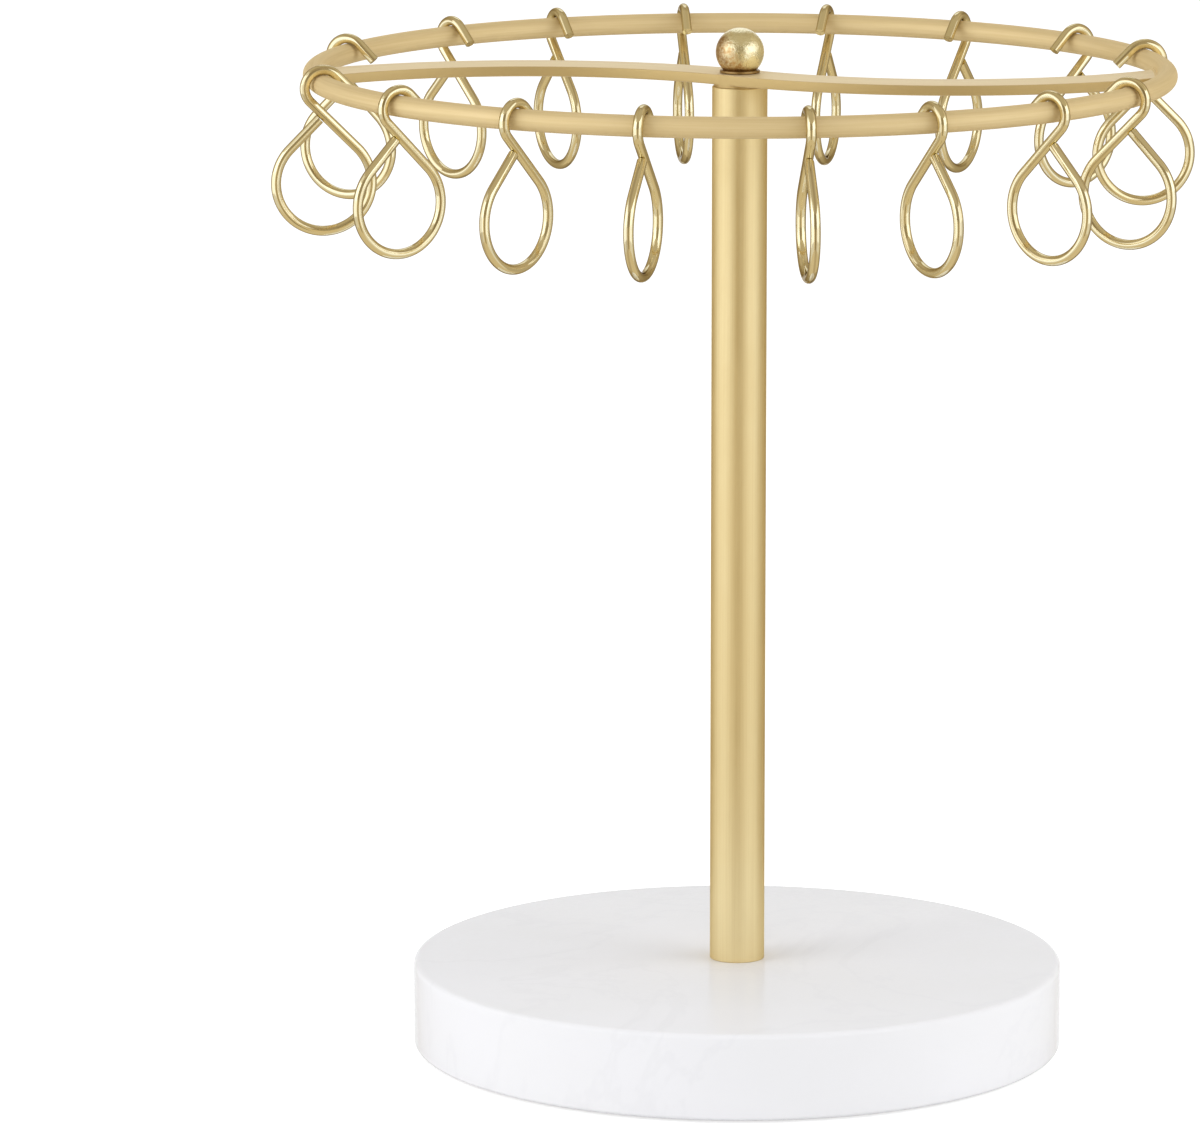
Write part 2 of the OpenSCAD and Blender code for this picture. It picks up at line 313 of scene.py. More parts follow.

# %% [markdown]
# ### Bright wire
# The hooks are bent from brass wire that was pulled through a die, polished and lacquered. They are
# the brightest thing on the stand: thin cream lines run along them between darker ones. The fine
# lines of the die follow the wire round every bend, so the pattern reads an attribute that the sweep
# writes. Three darker lines painted round the wire are a painted reflection of the dark camera side
# of the tent. Where the wire turns away from the eye its edge tint makes it darker, so each loop has
# a fine rim.

# %% Bright wire
bright_wire, tree, shader = bare_finish(
    "bright_wire", Metallic=1.0, Specular_Tint=light(156, 138, 102), Coat_Weight=0.4,
    Coat_Roughness=0.06, Coat_IOR=1.5)
where = noted(tree, "rod_place")
drawn = effect(tree, drawn_lines, Place=where, Lines_per_metre=1500.0, Along=0.003)
hands = effect(tree, handling, Place=own_place(tree), Marks_per_metre=90.0, Cover=0.4)
tone = blend(tree, hands.outputs["Mask"], light(247, 236, 194), light(242, 228, 183))
tone = blend(tree, drawn.outputs["Mask"], tone, light(250, 241, 205))
across = parts_of(tree, where)
round_wire = calc(tree, "ARCTAN2", across[1], across[0])
# Painted reflection: three dark lines round the wire stand in for the dark camera side.
painted_line_count = 3.0
painted_dark_line = soft_step(tree, calc(tree, "COSINE", calc(tree, "MULTIPLY", round_wire, painted_line_count)), 0.6, 1.0)
tone = blend(tree, calc(tree, "MULTIPLY", painted_dark_line, 0.4), tone, light(162, 136, 84))
dull = calc(tree, "MULTIPLY_ADD", drawn.outputs["Mask"], 0.5, hands.outputs["Mask"])
vary(tree, shader, tone, between(tree, dull, 0.09, 0.13), drawn.outputs["Height"], 4e-7)
print("finish:", bright_wire.name)

# %% [markdown]
# ### Aged brass
# The ball nut is the one dark accent. Its brass has a brown patina that is rubbed through in small
# specks, and it is hammered like foil, so it glitters where the light is strong. Two sizes of noise
# make the patches and the specks, and the patina is rougher and lies a little lower than the rubbed
# metal. Its right side and its top carry a painted highlight: their colour goes to bright metal and
# they are smoother. Round the foot, where it sits on the washer, the colour is darkened as painted
# shade; the washer itself is a darker brass.

# %% Aged brass
aged_brass, tree, shader = bare_finish("aged_brass", Metallic=1.0)
where = own_place(tree)
patches = effect(tree, handling, Place=where, Marks_per_metre=210.0, Cover=0.5)
specks = effect(tree, fine_grain, Place=where, Grains_per_metre=1500.0)
rubbed = calc(tree, "MULTIPLY", specks.outputs["Mask"], between(tree, patches.outputs["Mask"], 0.45, 1.0))
bright_z, foot_z, foot_shade_top_z = 233.9 * mm, 229.1 * mm, 230.6 * mm
side, height = (parts_of(tree, where)[i] for i in (0, 2))
# Painted highlight: towards the top and the right side the colour goes to bright metal.
painted_highlight = calc(tree, "MULTIPLY_ADD", calc(tree, "SUBTRACT", height, bright_z), 0.6, side)
ragged = calc(tree, "SUBTRACT", specks.outputs["Height"], 0.5)
painted_highlight = soft_step(tree, calc(tree, "MULTIPLY_ADD", ragged, 6.0 * mm, painted_highlight), -3.4 * mm, 0.2 * mm)
patina = blend(tree, patches.outputs["Mask"], light(172, 132, 88), light(236, 200, 142))
tone = blend(tree, calc(tree, "MAXIMUM", calc(tree, "MULTIPLY", rubbed, 0.8), painted_highlight), patina,
             light(255, 248, 210))
# Painted shade: the colour darkens towards the foot, where the ball sits on the washer.
foot = soft_step(tree, height, foot_z, foot_shade_top_z, 1.0, 0.0)
tone = blend(tree, calc(tree, "MULTIPLY", foot, 0.6), tone, light(132, 104, 68))
vary(tree, shader, tone, between(tree, painted_highlight, 0.4, 0.26), specks.outputs["Height"], 1.2e-4)
print("finish:", aged_brass.name)

# %% [markdown]
# ### Polished white stone
# The base is a disc of white stone, polished but not like a mirror: the post hardly shows in it.
# Up close there are broad clouds and a few soft veins, all within two or three shades of cool
# white. A warped noise gives the clouds, and the narrow zero line of another one gives the veins.

# %% White stone
white_stone, tree, shader = bare_finish("white_stone", Metallic=0.0, IOR=1.4, Specular_IOR_Level=0.03)
where = own_place(tree)
clouds = effect(tree, handling, Place=where, Marks_per_metre=16.0, Cover=0.5)
veins = put(tree, "ShaderNodeTexNoise", {
    "Vector": where, "Scale": 11.0, "Detail": 6.0, "Roughness": 0.6, "Distortion": 0.8})
veins = soft_step(tree, calc(tree, "ABSOLUTE", calc(tree, "SUBTRACT", veins, 0.5)), 0.0, 0.02, 1.0, 0.0)
crystals = effect(tree, fine_grain, Place=where, Grains_per_metre=900.0)
tone = blend(tree, clouds.outputs["Mask"], light(247, 247, 250), light(245, 245, 247))
tone = blend(tree, calc(tree, "MULTIPLY", veins, 0.4), tone, light(241, 241, 244))
dull = between(tree, crystals.outputs["Mask"], 0.16, 0.22)
vary(tree, shader, tone, dull, crystals.outputs["Height"], 3e-6)
print("finish:", white_stone.name)

# %% [markdown]
# ### Finishes that hardly show
# The pad is closed-cell foam, the screw, its washer, the plugs and the stud are zinc-plated steel,
# and the bush is sintered bronze. They are seen only from below, in the gap over the post, or not at
# all. They still get their own finish, because the parts may be taken apart by whoever uses them.


# %% Foam, zinc and bronze
def plain_metal(name, dark, bright, rough_low, rough_high, spangle):
    """A metal that varies between two tones in patches of one size."""
    made, tree, shader = bare_finish(name, Metallic=1.0)
    where = own_place(tree)
    patches = effect(tree, handling, Place=where, Marks_per_metre=spangle, Cover=0.5)
    grain = effect(tree, fine_grain, Place=where, Grains_per_metre=3000.0)
    tone = blend(tree, patches.outputs["Mask"], dark, bright)
    dull = calc(tree, "MULTIPLY_ADD", grain.outputs["Mask"], 0.4, patches.outputs["Mask"])
    dull = between(tree, dull, rough_low, rough_high)
    vary(tree, shader, tone, dull, grain.outputs["Height"], 6e-6)
    return made


zinc_steel = plain_metal("zinc_steel", light(176, 180, 184), light(198, 201, 204), 0.3, 0.42, 400.0)
bush_bronze = plain_metal("bush_bronze", light(200, 174, 122), light(214, 190, 138), 0.4, 0.52, 700.0)
washer_brass = plain_metal("washer_brass", light(154, 126, 82), light(180, 152, 104), 0.3, 0.42, 500.0)

pad_foam, tree, shader = bare_finish("pad_foam", Metallic=0.0, IOR=1.45, Specular_IOR_Level=0.3)
where = own_place(tree)
cells = put(tree, "ShaderNodeTexVoronoi", {"Vector": where, "Scale": 2200.0}).outputs["Distance"]
pores = effect(tree, handling, Place=where, Marks_per_metre=120.0, Cover=0.5)
tone = blend(tree, pores.outputs["Mask"], light(58, 58, 60), light(70, 70, 72))
vary(tree, shader, tone, between(tree, pores.outputs["Mask"], 0.8, 0.92), cells, 1.2e-4)
print("finishes:", zinc_steel.name, bush_bronze.name, washer_brass.name, pad_foam.name)

for cad_node, cad_finish in {
        "base_pad": pad_foam, "base_screw": zinc_steel, "base_washer": zinc_steel,
        "post_foot_plug": zinc_steel, "post_top_plug": zinc_steel, "pivot_stud": zinc_steel,
        "pivot_bush": bush_bronze}.items():
    slots = frame["nodes"][cad_node].material_slots
    slots[0].material = cad_finish
    print(cad_node, "wears", slots[0].material.name)

# %% [markdown]
# ## Turned pieces
# The disc, the tube, the ball and the washer are turned on a lathe, so in the script they are too: a
# half section is drawn, its corners are rounded as a file would do it, and it is swept round the
# axis in code. Points on the axis become one single vertex, so that no pole stays open.


# %% Lathe
on_axis = 0.0001 * mm


def round_corners(corners, steps):
    """Corners are (radius from the axis, height, rounding). Returns the section's points."""
    points = []
    for i, (r, z, rounding) in enumerate(corners):
        here = Vector((r, z))
        if not rounding:
            points.append(here)
            continue
        before = (Vector(corners[i - 1][:2]) - here).normalized()
        after = (Vector(corners[(i + 1) % len(corners)][:2]) - here).normalized()
        half = before.angle(after) / 2
        middle = here + (before + after).normalized() * (rounding / math.sin(half))
        start = here + before * (rounding / math.tan(half)) - middle
        end = here + after * (rounding / math.tan(half)) - middle
        for k in range(steps + 1):
            arm = start.normalized().slerp(end.normalized(), k / steps)
            points.append(middle + arm * rounding)
    return points


def lathe(name, section, turns, material, body, stands_for):
    """Sweeps a closed section round the Z axis and settles the piece."""
    shape = bmesh.new()
    rings = []
    for r, z in section:
        if r < on_axis:
            rings.append([shape.verts.new((0, 0, z))] * turns)
        else:
            rings.append([shape.verts.new((r * math.cos(a), r * math.sin(a), z))
                          for a in (2 * math.pi * k / turns for k in range(turns))])
    for i in range(len(rings)):
        low, high = rings[i], rings[(i + 1) % len(rings)]
        for k in range(turns):
            n = (k + 1) % turns
            loop = list(dict.fromkeys((low[k], low[n], high[n], high[k])))
            if len(loop) > 2:
                shape.faces.new(loop)
    bmesh.ops.recalc_face_normals(shape, faces=shape.faces)
    settle(show(name, as_mesh(name, shape, material)), body, stands_for, sharp_deg=30)


def as_mesh(name, shape, material):
    """Turns a bmesh into a mesh with one material."""
    mesh = bpy.data.meshes.new(name)
    shape.to_mesh(mesh)
    shape.free()
    mesh.materials.append(material)
    return mesh


def settle(piece, body, stands_for, sharp_deg):
    """Shades a piece, parents it to its body's empty, hides the CAD parts it stands for and prints how
    big it is.
    """
    piece.data.shade_smooth()
    piece.data.set_sharp_from_angle(angle=math.radians(sharp_deg))
    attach(piece, body)
    if stands_for:
        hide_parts(*stands_for)
    co = [v.co for v in piece.data.vertices]
    low = [min(c[i] for c in co) for i in range(3)]
    high = [max(c[i] for c in co) for i in range(3)]
    faces = sum(len(p.vertices) - 2 for p in piece.data.polygons)
    print(piece.name, [round(1000 * (b - a), 2) for a, b in zip(low, high)], "mm, triangles", faces)
    for cad_node in stands_for:
        boxes = zip(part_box(cad_node), (low, high))
        off = max(abs(a[i] - b[i]) for a, b in boxes for i in range(3))
        print("   its corners are within", round(1000 * off, 3), "mm of", cad_node)


print("lathe ready")

# %% [markdown]
# ### The stone disc
# Its top and bottom edges are eased with a small round, which catches a bright line in the
# photograph. Below, a shallow recess takes the pad and a pocket takes the screw's head, as in CAD.

# %% Stone disc
disc_low, disc_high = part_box("base_disc")
disc_r = disc_high.x
pad_room_r, pad_room_z = 70.2 * mm, disc_low.z + 1.0 * mm
pocket_r, pocket_z = 10.0 * mm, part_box("base_washer")[1].z
screw_room_r = 3.3 * mm
top_round, low_round, pocket_round, mouth_round = 1.3 * mm, 1.1 * mm, 0.3 * mm, 0.2 * mm
lathe("stone_disc", round_corners([
    (screw_room_r, disc_high.z, mouth_round), (screw_room_r, pocket_z, 0), (pocket_r, pocket_z, 0),
    (pocket_r, pad_room_z, pocket_round), (pad_room_r, pad_room_z, 0),
    (pad_room_r, disc_low.z, mouth_round), (disc_r, disc_low.z, low_round),
    (disc_r, disc_high.z, top_round)], 6),
    256, white_stone, "stand", ["base_disc"])

# %% [markdown]
# ### The post
# A drawn tube with both ends cut square and just broken with a file. It stands on the disc and ends
# under the bush, so only its wall needs care: many sides, and a hairline round at each end.

# %% Post
tube_low, tube_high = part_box("post_tube")
tube_r, tube_hole_r = tube_high.x, tube_high.x - 1.0 * mm
inner_break, outer_break = 0.15 * mm, 0.25 * mm
lathe("gold_post", round_corners([
    (tube_hole_r, tube_low.z, inner_break), (tube_r, tube_low.z, outer_break),
    (tube_r, tube_high.z, outer_break), (tube_hole_r, tube_high.z, inner_break)], 4),
    192, post_gold, "stand", ["post_tube"])

# %% [markdown]
# ### The ball nut and its washer
# The ball has a flat below and a blind hole for the stud's thread. Its section starts and ends on
# the axis. The washer is punched from thin sheet, so its edges are rounded on one side.

# %% Ball and washer
nut_low, nut_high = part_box("ball_finial")
ball_r, flat_r = 5.55 * mm, 3.8 * mm
ball_z = nut_high.z - ball_r
hole_r, hole_top, hole_bevel = 2.02 * mm, nut_low.z + 6.0 * mm, 0.3 * mm
flat_angle = -math.acos(flat_r / ball_r)
outside = [(ball_r * math.cos(a), ball_z + ball_r * math.sin(a))
           for a in (flat_angle + (math.pi / 2 - flat_angle) * k / 48 for k in range(48))]
section = [(0, hole_top), (hole_r, hole_top), (hole_r, nut_low.z + hole_bevel),
           (hole_r + hole_bevel, nut_low.z), (flat_r - 0.1 * mm, nut_low.z),
           *outside, (0, nut_high.z)]
lathe("ball_nut", section, 96, aged_brass, "stand", ["ball_finial"])

washer_low, washer_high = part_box("cap_washer")
lathe("thin_washer", round_corners([
    (hole_r, washer_low.z, 0), (washer_high.x, washer_low.z, 0.1 * mm),
    (washer_high.x, washer_high.z, 0.25 * mm), (hole_r, washer_high.z, 0.1 * mm)], 4),
    96, washer_brass, "stand", ["cap_washer"])

# %% [markdown]
# ## Swept pieces
# The ring, the crossbar and the hooks are stock that follows a path, which is what Geometry Nodes
# do best: change one named size and the piece is bent again. The ring, the hooks and the solder beads
# use one shared group, which sweeps a round section along a path and writes down, for each point,
# where it is round the rod and how far along it. The crossbar's tree writes the same place itself.
# The finishes read that to keep their lines running with the rod.


# %% A rod along a path
def store(tree, geometry, name, value, kind="FLOAT_VECTOR", domain="POINT"):
    """Writes a value down on the geometry under a name."""
    return put(tree, "GeometryNodeStoreNamedAttribute", {
        "Geometry": geometry, "Name": name, "Value": value}, data_type=kind, domain=domain)


def recall(tree, name, kind):
    """Reads what store wrote down."""
    return put(tree, "GeometryNodeInputNamedAttribute", {"Name": name}, data_type=kind)


shape_socket, whole, stuff = "NodeSocketGeometry", "NodeSocketInt", "NodeSocketMaterial"
rod, rod_in, rod_out = open_group(
    "GeometryNodeTree", "rod_along_path",
    [("Path", shape_socket, None), ("Radius", number, 0.001), ("Sides", whole, 24)],
    [("Rod", shape_socket)])
along = put(rod, "GeometryNodeSplineParameter").outputs["Length"]
marked = store(rod, rod_in["Path"], "rod_along", along, "FLOAT")
circle = put(rod, "GeometryNodeCurvePrimitiveCircle", {
    "Resolution": rod_in["Sides"], "Radius": rod_in["Radius"]})
section = store(rod, circle, "rod_round", put(rod, "GeometryNodeInputPosition"))
swept = put(rod, "GeometryNodeCurveToMesh", {
    "Curve": marked, "Profile Curve": section, "Fill Caps": True})
split = parts_of(rod, recall(rod, "rod_round", "FLOAT_VECTOR"))
together = xyz(rod, X=split[0], Y=split[1], Z=recall(rod, "rod_along", "FLOAT"))
feed(rod, rod_out["Rod"], store(rod, swept, "rod_place", together))
print("group:", rod.name, "nodes:", len(rod.nodes))


# %% Ending a tree and running it
def round_rod(tree, path, radius, sides):
    """Places the shared sweep in a tree."""
    return put(tree, "GeometryNodeGroup", {
        "Path": path, "Radius": radius, "Sides": sides}, node_tree=rod)


def moved(tree, geometry, **how):
    """Turns the geometry about the origin by a Rotation, then shifts it by a Translation."""
    return put(tree, "GeometryNodeTransform", {"Geometry": geometry, **how})


def end_tree(tree, sockets_in, sockets_out, geometry):
    """The last two nodes of each tree: real geometry, and its material."""
    real = put(tree, "GeometryNodeRealizeInstances", {0: geometry})
    dressed = put(tree, "GeometryNodeSetMaterial", {"Geometry": real, "Material": sockets_in["Material"]})
    feed(tree, sockets_out["Piece"], dressed)


def grow(name, tree, sizes, body, stands_for):
    """Runs a tree once with these named sizes and keeps the result as a plain mesh."""
    piece = show(name, bpy.data.meshes.new(name))
    run = piece.modifiers.new("grow", "NODES")
    run.node_group = tree
    for item in tree.interface.items_tree:
        if item.in_out == "INPUT" and item.name in sizes:
            run[item.identifier] = sizes[item.name]
    graph = bpy.context.evaluated_depsgraph_get()
    seen = piece.evaluated_get(graph)
    mesh = bpy.data.meshes.new_from_object(seen, preserve_all_data_layers=True, depsgraph=graph)
    piece.modifiers.remove(run)
    piece.data = mesh
    mesh.name = name
    settle(piece, body, stands_for, sharp_deg=35)


print("sweep tools ready")

# %% [markdown]
# ### The ring
# A round rod rolled into a closed circle. Its radius and its height are read from the CAD box.

# %% Ring
ring_tree, ring_in, ring_out = open_group(
    "GeometryNodeTree", "rolled_ring",
    [("Ring radius", number, 0.1), ("Rod radius", number, 0.002), ("Height", number, 0.0),
     ("Material", stuff, None)],
    [("Piece", shape_socket)])
ring_path = put(ring_tree, "GeometryNodeCurvePrimitiveCircle", {
    "Resolution": 360, "Radius": ring_in["Ring radius"]})
ring_sweep = round_rod(ring_tree, ring_path, ring_in["Rod radius"], sides=40)
ring_raised = moved(ring_tree, ring_sweep, Translation=xyz(ring_tree, Z=ring_in["Height"]))
end_tree(ring_tree, ring_in, ring_out, ring_raised)

ring_low, ring_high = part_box("ring")
rod_r = 2.4 * mm
ring_r = ring_high.x - rod_r
ring_z = ring_low.z + rod_r
print("ring radius", round(1000 * ring_r, 2), "at height", round(1000 * ring_z, 2))
grow("gold_ring", ring_tree, {
    "Ring radius": ring_r, "Rod radius": rod_r, "Height": ring_z, "Material": ring_gold},
    "carousel", ["ring"])

# %% [markdown]
# ### The crossbar
# A flat strip bent on edge into a long S. Each half is one arc from the middle to the ring, and the
# second half is the first one turned by half a turn. The tree walks a parameter from -1 to 1, puts
# each point on its arc, sweeps a strip with eased edges along it, adds the round eye at the middle,
# trims the ends under the ring and bores the eye for the bush.

# %% The S path
bar_tree, bar_in, bar_out = open_group(
    "GeometryNodeTree", "s_crossbar",
    [("Chord", number, 0.095), ("Bow", number, 0.017), ("Run on", number, 0.1),
     ("Width", number, 0.012), ("Thickness", number, 0.0024), ("Easing", number, 0.0003),
     ("Eye radius", number, 0.0062), ("Bore radius", number, 0.004),
     ("End radius", number, 0.096), ("Bottom", number, 0.0), ("Material", stuff, None)],
    [("Piece", shape_socket)])
half_chord = calc(bar_tree, "MULTIPLY", bar_in["Chord"], 0.5)
squares = calc(bar_tree, "ADD", calc(bar_tree, "POWER", half_chord, 2.0),
               calc(bar_tree, "POWER", bar_in["Bow"], 2.0))
arc_r = calc(bar_tree, "DIVIDE", squares, calc(bar_tree, "MULTIPLY", bar_in["Bow"], 2.0))
half_angle = calc(bar_tree, "ARCSINE", calc(bar_tree, "DIVIDE", half_chord, arc_r))
sweep = calc(bar_tree, "MULTIPLY_ADD", half_angle, 2.0, bar_in["Run on"])

walk = put(bar_tree, "GeometryNodeResampleCurve", {
    "Curve": put(bar_tree, "GeometryNodeCurvePrimitiveLine"), "Count": 181}, mode="COUNT")
share = put(bar_tree, "GeometryNodeSplineParameter").outputs["Factor"]
t = calc(bar_tree, "MULTIPLY_ADD", share, 2.0, -1.0)
side = calc(bar_tree, "SIGN", t)
turn = calc(bar_tree, "MULTIPLY_ADD", calc(bar_tree, "ABSOLUTE", t), sweep,
            calc(bar_tree, "MULTIPLY", half_angle, -1.0))
path_x = calc(bar_tree, "MULTIPLY_ADD", calc(bar_tree, "SINE", turn), arc_r, half_chord)
drop = calc(bar_tree, "SUBTRACT", arc_r, bar_in["Bow"])
path_y = calc(bar_tree, "SUBTRACT", drop,
              calc(bar_tree, "MULTIPLY", calc(bar_tree, "COSINE", turn), arc_r))
path_at = xyz(bar_tree, X=calc(bar_tree, "MULTIPLY", side, path_x),
              Y=calc(bar_tree, "MULTIPLY", side, path_y))
s_path = put(bar_tree, "GeometryNodeSetPosition", {"Geometry": walk, "Position": path_at})
upright = put(bar_tree, "GeometryNodeSetCurveNormal", {"Curve": s_path}, mode="Z_UP")
print("path nodes:", len(bar_tree.nodes))

# %% Strip, eye and trimming
strip = put(bar_tree, "GeometryNodeCurvePrimitiveQuadrilateral", {
    "Width": bar_in["Width"], "Height": bar_in["Thickness"]}, mode="RECTANGLE")
eased = put(bar_tree, "GeometryNodeFilletCurve", {
    "Curve": strip, "Count": 4, "Radius": bar_in["Easing"]}, mode="POLY")
s_strip = put(bar_tree, "GeometryNodeCurveToMesh", {
    "Curve": upright, "Profile Curve": eased, "Fill Caps": True})


def disc(tree, radius, depth, sides):
    """A short closed cylinder round the origin."""
    return put(tree, "GeometryNodeMeshCylinder", {"Vertices": sides, "Radius": radius, "Depth": depth})


def combine(tree, what, *solids):
    """The UNION of some solids, or what they share, their INTERSECT."""
    made = put(tree, "GeometryNodeMeshBoolean", operation=what, solver="EXACT")
    for solid in solids:
        feed(tree, made.inputs["Mesh 2"], solid)
    return made


cutter_depth = 10 * mm
eye = disc(bar_tree, bar_in["Eye radius"], bar_in["Thickness"], sides=128)
joined = combine(bar_tree, "UNION", s_strip, eye)
trimmed = combine(bar_tree, "INTERSECT", joined,
                  disc(bar_tree, bar_in["End radius"], cutter_depth, sides=360))
bored = put(bar_tree, "GeometryNodeMeshBoolean", {
    "Mesh 1": trimmed, "Mesh 2": disc(bar_tree, bar_in["Bore radius"], cutter_depth, sides=96)},
    operation="DIFFERENCE", solver="EXACT")
middle_z = calc(bar_tree, "MULTIPLY_ADD", bar_in["Thickness"], 0.5, bar_in["Bottom"])
bar_raised = moved(bar_tree, bored, Translation=xyz(bar_tree, Z=middle_z))
print("the strip is joined, trimmed and bored")

# %% Where each face lies on the strip
corner_at = parts_of(bar_tree, put(bar_tree, "GeometryNodeInputPosition"))
half_side = calc(bar_tree, "SIGN", corner_at[0])
from_x = calc(bar_tree, "SUBTRACT", corner_at[0], calc(bar_tree, "MULTIPLY", half_side, half_chord))
from_y = calc(bar_tree, "SUBTRACT", corner_at[1], calc(bar_tree, "MULTIPLY", half_side, drop))
reach = calc(bar_tree, "SQRT", calc(bar_tree, "ADD", calc(bar_tree, "POWER", from_x, 2.0),
                                    calc(bar_tree, "POWER", from_y, 2.0)))
swung = calc(bar_tree, "ARCTAN2", calc(bar_tree, "MULTIPLY", half_side, from_x),
             calc(bar_tree, "ABSOLUTE", from_y))
strip_place = xyz(bar_tree, X=calc(bar_tree, "SUBTRACT", reach, arc_r), Y=corner_at[2],
                  Z=calc(bar_tree, "MULTIPLY", swung, arc_r))
bar_placed = store(bar_tree, bar_raised, "rod_place", strip_place)
# Marks the upright side faces, which bar_gold paints darker as painted shade.
facing = parts_of(bar_tree, put(bar_tree, "GeometryNodeInputNormal"))[2]
side_face_shade = put(bar_tree, "ShaderNodeMapRange", {
    "Value": calc(bar_tree, "ABSOLUTE", facing), "From Min": 0.5, "From Max": 0.9,
    "To Min": 1.0, "To Max": 0.0})
bar_marked = store(bar_tree, bar_placed, "painted_side_shade", side_face_shade, "FLOAT", "FACE")
end_tree(bar_tree, bar_in, bar_out, bar_marked)

bar_low, bar_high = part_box("crossbar")
grow("s_crossbar", bar_tree, {
    "Chord": ring_r - rod_r, "Bow": 17 * mm, "Run on": 0.13, "Width": 12 * mm,
    "Thickness": bar_high.z - bar_low.z, "Easing": 0.3 * mm, "Eye radius": 6.15 * mm,
    "Bore radius": 4.08 * mm, "End radius": ring_r - 0.6 * rod_r, "Bottom": bar_low.z,
    "Material": bar_gold},
    "carousel", ["crossbar"])

# %% [markdown]
# ### Solder at the crossbar's ends
# The strip meets the rod in a soldered joint. Solder wets both sides and leaves a small fillet, so
# the corner over the joint and the one under it are filled by a thin bead that tapers at its ends.

# %% Solder beads
bead_tree, bead_in, bead_out = open_group(
    "GeometryNodeTree", "solder_bead",
    [("Bend radius", number, 0.095), ("Half angle", number, 0.08), ("Thickness", number, 0.0005),
     ("Middle angle", number, 0.0), ("Height", number, 0.0), ("Material", stuff, None)],
    [("Piece", shape_socket)])
bead_arc = put(bead_tree, "GeometryNodeCurveArc", {
    "Resolution": 48, "Radius": bead_in["Bend radius"],
    "Start Angle": calc(bead_tree, "SUBTRACT", bead_in["Middle angle"], bead_in["Half angle"]),
    "Sweep Angle": calc(bead_tree, "MULTIPLY", bead_in["Half angle"], 2.0)}, mode="RADIUS")
from_end = put(bead_tree, "GeometryNodeSplineParameter").outputs["Factor"]
swell = calc(bead_tree, "SINE", calc(bead_tree, "MULTIPLY", from_end, math.pi))
swell = calc(bead_tree, "POWER", calc(bead_tree, "MAXIMUM", swell, 0.02), 0.35)
tapered = put(bead_tree, "GeometryNodeSetCurveRadius", {"Curve": bead_arc, "Radius": swell})
bead_swept = round_rod(bead_tree, tapered, bead_in["Thickness"], sides=16)
bead_raised = moved(bead_tree, bead_swept, Translation=xyz(bead_tree, Z=bead_in["Height"]))
end_tree(bead_tree, bead_in, bead_out, bead_raised)

# Where a bead lies, its bend radius, its thickness and its height.
beads = (("over", ring_r - rod_r - 0.05 * mm, 0.42 * mm, bar_high.z - 0.08 * mm),
         ("under", ring_r - 0.55 * rod_r, 0.4 * mm, bar_low.z + 0.4 * mm))
for end, middle in (("right", 0.0), ("left", math.pi)):
    for place, bead_bend, thickness, height in beads:
        grow(f"solder_{place}_{end}", bead_tree, {
            "Bend radius": bead_bend, "Half angle": 0.084, "Thickness": thickness,
            "Middle angle": middle, "Height": height, "Material": ring_gold},
            "carousel", [])

# %% [markdown]
# ### The hooks
# Each hook is one length of wire. Seen along the ring it has a small bend over the rod, a long leg
# that crosses inward, a round loop, and a last leg that rises back to the neck. In a frame that
# leans by half a right angle, every turn is square, so the path is seven corners, and each corner is
# filleted to its full radius: two make the bend, three make the loop. The tree then sweeps the wire,
# breaks its two cut ends, stands the hook up, turns it a little and hangs it at its angle.

# %% Corners of the wire
hook_tree, hook_in, hook_out = open_group(
    "GeometryNodeTree", "wire_hook",
    [("Wire radius", number, 0.001), ("Bend radius", number, 0.004), ("Loop radius", number, 0.011),
     ("Tip", number, 0.005), ("Leg", number, 0.015), ("Last leg", number, 0.0097),
     ("Lean", number, 0.785), ("Hang", number, 0.0), ("Turn", number, 0.0),
     ("Ring radius", number, 0.1), ("Ring height", number, 0.0), ("Angle", number, 0.0),
     ("Material", stuff, None)],
    [("Piece", shape_socket)])
bend, loop = hook_in["Bend radius"], hook_in["Loop radius"]
bend_left = calc(hook_tree, "MULTIPLY", bend, -1.0)
loop_mid = calc(hook_tree, "MULTIPLY", hook_in["Leg"], -1.0)
loop_top = calc(hook_tree, "ADD", loop_mid, loop)
loop_low = calc(hook_tree, "SUBTRACT", loop_mid, loop)
loop_far = calc(hook_tree, "MULTIPLY_ADD", loop, 2.0, bend)
last_x = calc(hook_tree, "SUBTRACT", calc(hook_tree, "ADD", bend, loop), hook_in["Last leg"])
tip_y = calc(hook_tree, "MULTIPLY", hook_in["Tip"], -1.0)
corners = [(bend_left, tip_y), (bend_left, bend), (bend, bend), (bend, loop_low),
           (loop_far, loop_low), (loop_far, loop_top), (last_x, loop_top)]
order = put(hook_tree, "GeometryNodeInputIndex")
pick = put(hook_tree, "GeometryNodeIndexSwitch", data_type="VECTOR")
while len(pick.index_switch_items) < len(corners):
    pick.index_switch_items.new()
feed(hook_tree, pick.inputs["Index"], order)
for i, (x, y) in enumerate(corners):
    feed(hook_tree, pick.inputs[i + 1], xyz(hook_tree, X=x, Y=y))
stick = put(hook_tree, "GeometryNodeMeshLine", {"Count": len(corners)})
as_path = put(hook_tree, "GeometryNodeMeshToCurve", {"Mesh": stick})
square_path = put(hook_tree, "GeometryNodeSetPosition", {"Geometry": as_path, "Position": pick})
print("corners:", len(corners))

# %% Bends, sweep and place
last_of_bend = 2
